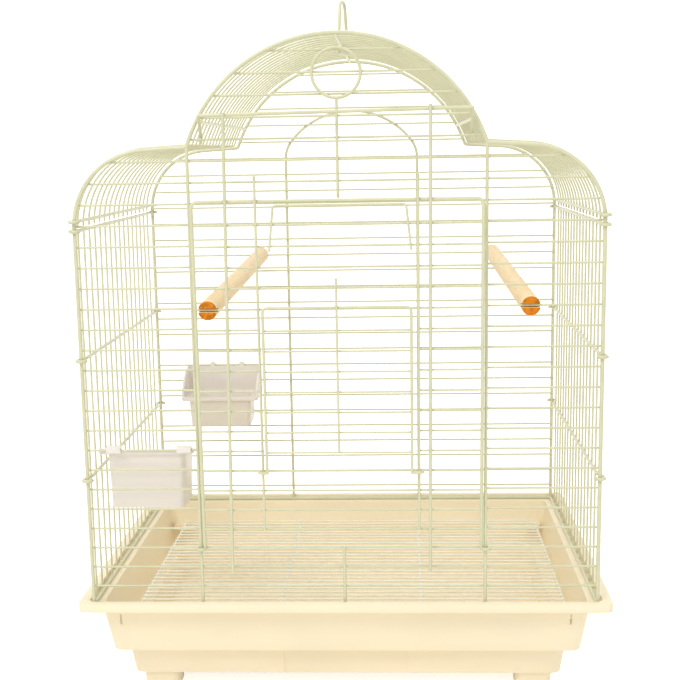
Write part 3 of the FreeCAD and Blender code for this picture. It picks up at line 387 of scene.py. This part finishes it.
class BIRDCAGE_OT_stage(bpy.types.Operator):
    """Adds the floor that sweeps up into a backdrop, the lamps and the even light"""

    bl_idname = "birdcage.stage"
    bl_label = "Set Stage"

    def execute(self, context):
        stage = context.scene.cage_stage
        deselect_all()
        bpy.ops.mesh.primitive_plane_add(size=1)
        floor = context.object
        floor.name = "backdrop"
        floor.scale = FLOOR_SIZE
        bpy.ops.object.transform_apply(scale=True)
        bpy.ops.object.mode_set(mode="EDIT")
        bpy.ops.mesh.select_all(action="DESELECT")
        bpy.ops.object.mode_set(mode="OBJECT")
        for edge in floor.data.edges:
            edge.select = all(floor.data.vertices[v].co.y > 0 for v in edge.vertices)
        bpy.ops.object.mode_set(mode="EDIT")
        lift = (0, 0, WALL_HEIGHT)
        bpy.ops.mesh.extrude_region_move(TRANSFORM_OT_translate={"value": lift})
        bpy.ops.object.mode_set(mode="OBJECT")
        bend = floor.modifiers.new("sweep", "BEVEL")
        bend.width = SWEEP_RADIUS
        bend.segments = SWEEP_STEPS
        bend.limit_method = "ANGLE"
        bpy.ops.object.modifier_apply(modifier="sweep")
        bpy.ops.object.shade_smooth()
        finish = Finish("backdrop_paper")
        paper = tint(stage.backdrop_colour)
        finish.wear(Base_Color=paper, Roughness=0.9, Specular_IOR_Level=0.2)
        glow = finish.mix(finish.seen(), (0, 0, 0, 1), paper)
        finish.wear(Emission_Color=glow, Emission_Strength=stage.backdrop_glow)
        floor.data.materials.append(finish.material)

        for name, place, width, power in LAMPS:
            bpy.ops.object.light_add(type="AREA", location=place)
            lamp = context.object
            lamp.name = name
            lamp.data.energy = getattr(stage, power)
            lamp.data.size = width
            aim = LAMP_AIM - lamp.location
            lamp.rotation_euler = aim.to_track_quat("-Z", "Y").to_euler()

        world = bpy.data.worlds.new("even_light")
        context.scene.world = world
        world.use_nodes = True
        sheet = Sheet(world.node_tree)
        even = sheet.mix(sheet.seen(), tint((1, 1, 1), stage.sky_strength), (1, 1, 1, 1))
        sky = sheet.nodes["Background"]
        sheet.put(sky.inputs["Color"], even)
        sheet.put(sky.inputs["Strength"], 1)
        context.scene.view_settings.view_transform = "Standard"
        return {"FINISHED"}


def coating(name, colour):
    """Cream powder coating with a soft sheen, a faint mottle and an orange-peel skin."""
    finish = Finish(name)
    mottle = finish.noise(COAT_MOTTLE, detail=3).above(0.35, 0.7)
    dust = finish.noise(COAT_DUST).above(0.62, 0.75)
    base = finish.mix(mottle, tint(colour), tint(colour, 1.08))
    base = finish.mix(dust * 0.25, base, tint(colour, 0.88))
    finish.wear(
        Base_Color=base,
        Roughness=0.34 + mottle * 0.12,
        Coat_Weight=0.25,
        Coat_Roughness=0.2,
    )
    finish.bump(finish.noise(COAT_PEEL, detail=1), COAT_PEEL_DEPTH)
    return finish.material


class BIRDCAGE_OT_wires(bpy.types.Operator):
    """Coats every wire of the cage and its doors, and gives the floor grate a lighter copy of
    the coating: painted light from above
    """

    bl_idname = "birdcage.wires"
    bl_label = "Coat Wires"

    def execute(self, context):
        finishes = context.scene.cage_finishes
        dress(CAGE_WIRES, coating("wire_coating", finishes.wire_colour))
        # Painted light: the grate gets its own lighter coating for the light from above,
        # though it is the same coated wire as the cage.
        dress(GRATE_WIRES, coating("grate_coating", finishes.grate_painted_light_colour))
        return {"FINISHED"}


def moulded(name, colour, sheen, grain, depth):
    """Moulded plastic: even colour with faint flow marks and a fine grain."""
    finish = Finish(name)
    flow = finish.noise(PLASTIC_FLOW, detail=4, place=finish.stretch(PLASTIC_FLOW_STRETCH))
    flow = flow.above(0.3, 0.75)
    scuff = finish.noise(PLASTIC_SCUFF, detail=5, place=finish.stretch(PLASTIC_SCUFF_STRETCH))
    scuff = scuff.above(0.6, 0.78)
    base = finish.mix(flow, tint(colour, 0.975), tint(colour, 1.02))
    base = finish.mix(scuff * 0.18, base, tint(colour, 1.07))
    finish.wear(
        Base_Color=base,
        Roughness=sheen + flow * 0.06 + scuff * 0.1,
        Specular_IOR_Level=0.45,
    )
    finish.bump(finish.noise(grain) + scuff * 0.3, depth, strength=0.45)
    return finish.material


class BIRDCAGE_OT_tray(bpy.types.Operator):
    """Rounds the tray's moulded edges and gives it its cream plastic"""

    bl_idname = "birdcage.tray"
    bl_label = "Mould Tray"

    def execute(self, context):
        finishes = context.scene.cage_finishes
        plastic = moulded("tray_plastic", finishes.tray_colour, sheen=0.42,
                          grain=TRAY_GRAIN, depth=TRAY_GRAIN_DEPTH)
        cast_from("tray", "moulded_tray", "tray", plastic,
                  finishes.tray_edge)
        return {"FINISHED"}


class BIRDCAGE_OT_cups(bpy.types.Operator):
    """Rounds the cups' moulded edges and gives them their pale plastic"""

    bl_idname = "birdcage.cups"
    bl_label = "Mould Cups"

    def execute(self, context):
        finishes = context.scene.cage_finishes
        plastic = moulded("cup_plastic", finishes.cup_colour, sheen=0.36,
                          grain=CUP_GRAIN, depth=CUP_GRAIN_DEPTH)
        for node_name in CUPS:
            cast_from(node_name, "moulded_" + node_name, node_name, plastic,
                      finishes.cup_edge)
        return {"FINISHED"}


def perch_wood(finishes):
    """Straight-grained dowel wood, browner and ringed on its cut ends."""
    finish = Finish("perch_wood")
    grain = finish.noise(1, detail=6, place=finish.stretch(WOOD_GRAIN), roughness=0.6)
    bands = finish.noise(1, place=finish.stretch(WOOD_BANDS)).above(0.35, 0.7)
    side = finish.mix(grain.above(0.38, 0.66), tint(finishes.wood_colour, 0.94),
                      tint(finishes.wood_colour, 1.05))
    side = finish.mix(bands * 0.25, side, tint(finishes.wood_colour, 0.84))
    rings = finish.noise(1, detail=5, place=finish.stretch(WOOD_RINGS))
    cut_end = finish.mix(rings.above(0.35, 0.65), tint(finishes.end_grain_colour, 0.75),
                         tint(finishes.end_grain_colour, 1.25))
    facing = finish.node("ShaderNodeNewGeometry", output="True Normal")
    along = finish.parts_of(facing)[1]
    end_mask = (along * along).above(0.5, 0.8)
    finish.wear(
        Base_Color=finish.mix(end_mask, side, cut_end),
        Roughness=0.55 + end_mask * 0.2,
        Specular_IOR_Level=0.3,
    )
    finish.bump(grain, WOOD_GRAIN_DEPTH)
    return finish.material


class BIRDCAGE_OT_perches(bpy.types.Operator):
    """Breaks the dowels' edges and gives them their wood"""

    bl_idname = "birdcage.perches"
    bl_label = "Turn Perches"

    def execute(self, context):
        finishes = context.scene.cage_finishes
        wood = perch_wood(finishes)
        for node_name in PERCHES:
            cast_from(node_name, "turned_" + node_name, "cage", wood,
                      finishes.perch_edge)
        return {"FINISHED"}


STEPS = (
    BIRDCAGE_OT_camera,
    BIRDCAGE_OT_stage,
    BIRDCAGE_OT_wires,
    BIRDCAGE_OT_tray,
    BIRDCAGE_OT_cups,
    BIRDCAGE_OT_perches,
)


class BIRDCAGE_PT_steps(bpy.types.Panel):
    """Lists the settings and the steps"""

    bl_label = "Bird Cage"
    bl_idname = "BIRDCAGE_PT_steps"
    bl_space_type = "VIEW_3D"
    bl_region_type = "UI"
    bl_category = "Bird Cage"

    def draw(self, context):
        for group in (context.scene.cage_finishes, context.scene.cage_stage):
            for name in group.__annotations__:
                self.layout.prop(group, name)
        for step in STEPS:
            self.layout.operator(step.bl_idname)


CLASSES = (CageFinishes, CageStage) + STEPS + (BIRDCAGE_PT_steps,)


def register():
    for cls in CLASSES:
        bpy.utils.register_class(cls)
    bpy.types.Scene.cage_finishes = bpy.props.PointerProperty(type=CageFinishes)
    bpy.types.Scene.cage_stage = bpy.props.PointerProperty(type=CageStage)


def unregister():
    del bpy.types.Scene.cage_stage
    del bpy.types.Scene.cage_finishes
    for cls in reversed(CLASSES):
        bpy.utils.unregister_class(cls)


def main():
    """Takes every step in order."""
    register()
    for step in STEPS:
        family, name = step.bl_idname.split(".")
        getattr(getattr(bpy.ops, family), name)()


if __name__ == "__main__":
    main()
